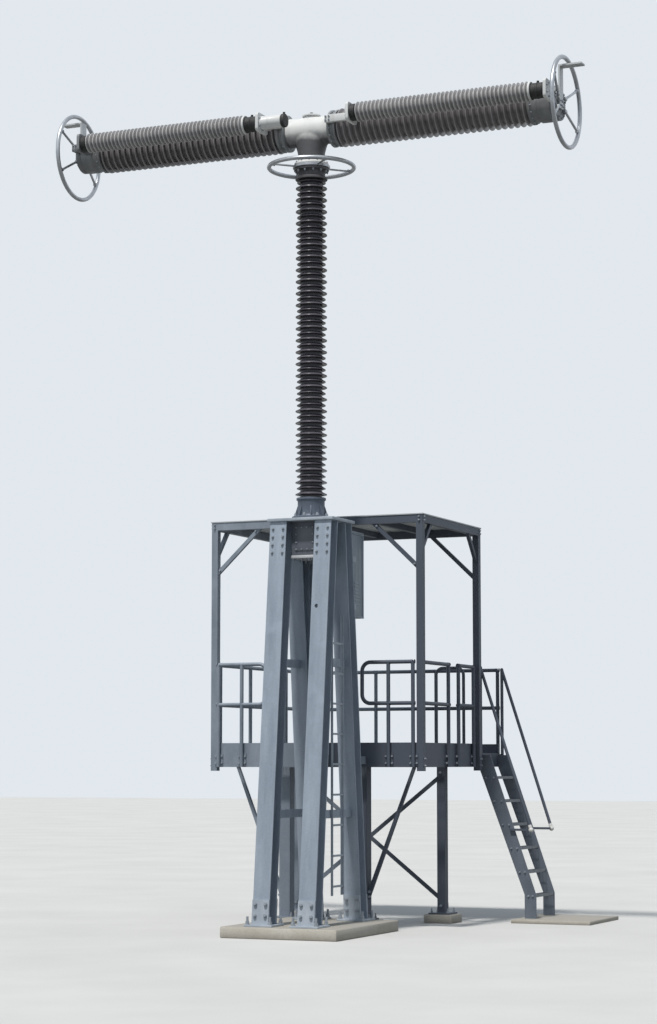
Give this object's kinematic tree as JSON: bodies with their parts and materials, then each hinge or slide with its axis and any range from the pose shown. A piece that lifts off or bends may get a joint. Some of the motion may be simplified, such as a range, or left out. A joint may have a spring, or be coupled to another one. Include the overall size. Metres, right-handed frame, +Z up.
{
  "type": "substation circuit breaker",
  "caption": "High-voltage live-tank circuit breaker pole with two horizontal interrupters, on a steel support with mechanism cabinet and covered access platform.",
  "frame": {"origin": "on the ground under the centre of the four support columns, on the axis of the support insulator", "axes": "+X along the interrupter arms towards the end where the platform ladder stands, +Y from the pole towards the access platform, +Z up"},
  "size_m": [5.832, 4.195, 8.611],
  "materials": {
    "concrete": "rough",
    "galvanised_steel": "dull zinc",
    "grey_paint": "satin",
    "brown_porcelain": "glazed",
    "cast_aluminium": "as cast",
    "ring_aluminium": "smooth"
  },
  "bodies": {
    "root": {"foundation_plinth": "concrete", "platform_footings": "concrete", "column_base_plates": "galvanised_steel", "front_left_column": "galvanised_steel", "front_right_column": "galvanised_steel", "rear_left_column": "galvanised_steel", "rear_right_column": "galvanised_steel", "column_ties": "galvanised_steel", "support_top_plate": "galvanised_steel", "cabinet_rails": "galvanised_steel", "cable_ladder": "galvanised_steel", "platform_legs": "galvanised_steel", "platform_braces": "galvanised_steel", "deck_frame": "galvanised_steel", "deck_grating": "galvanised_steel", "toe_boards": "galvanised_steel", "front_guardrails": "galvanised_steel", "right_guardrail": "galvanised_steel", "rear_guardrail": "galvanised_steel", "left_guardrail": "galvanised_steel", "canopy_posts": "galvanised_steel", "canopy_braces": "galvanised_steel", "canopy_frame": "galvanised_steel", "canopy_roof": "galvanised_steel", "ladder_stringers": "galvanised_steel", "ladder_treads": "galvanised_steel", "ladder_handrails": "galvanised_steel", "gear_housing": "grey_paint", "linkage_cover": "grey_paint", "drive_cabinet": "grey_paint", "cabinet_door": "grey_paint", "support_insulator": "brown_porcelain", "left_interrupter": "brown_porcelain", "right_interrupter": "brown_porcelain", "left_capacitor": "brown_porcelain", "right_capacitor": "brown_porcelain", "lower_flange": "cast_aluminium", "upper_flange": "cast_aluminium", "head_casting": "cast_aluminium", "left_end_fitting": "cast_aluminium", "right_end_fitting": "cast_aluminium", "capacitor_brackets": "cast_aluminium", "post_ring": "ring_aluminium", "line_terminals": "ring_aluminium", "end_rings": "ring_aluminium"}
  },
  "joints": []
}
